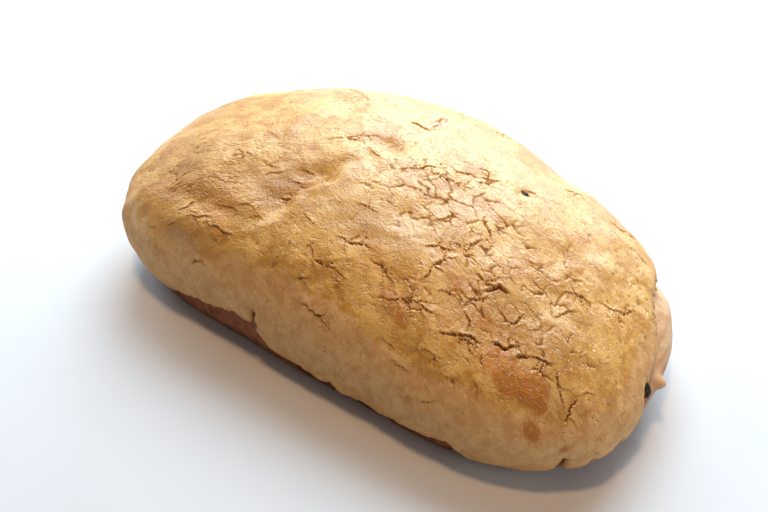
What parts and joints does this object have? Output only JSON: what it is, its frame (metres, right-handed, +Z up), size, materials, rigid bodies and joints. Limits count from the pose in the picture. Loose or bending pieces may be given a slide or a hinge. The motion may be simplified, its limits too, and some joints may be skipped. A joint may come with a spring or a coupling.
{
  "type": "mocha bread loaf",
  "caption": "Oblong domed sweet loaf under a thin cracked biscuit crust with a ragged hem, the bread showing below it and at one end, with raisins.",
  "frame": {"origin": "middle of the loaf's bounding box at the height of its flat base", "axes": "+X along the loaf towards the end that the crust leaves open, +Y across it towards the back, +Z up"},
  "size_m": [0.2615, 0.1662, 0.0749],
  "materials": {
    "biscuit": "baked biscuit dough, sandy and matt, glossier and darker where egg wash browned",
    "bread": "baked sweet bread, matt, red-brown at the foot and paler at the open end",
    "raisin": "dark wrinkled fruit skin, slightly glossy"
  },
  "bodies": {
    "root": {"bread": "bread", "biscuit_crust": "biscuit", "raisin_top": "raisin", "raisin_end": "raisin"}
  },
  "joints": []
}
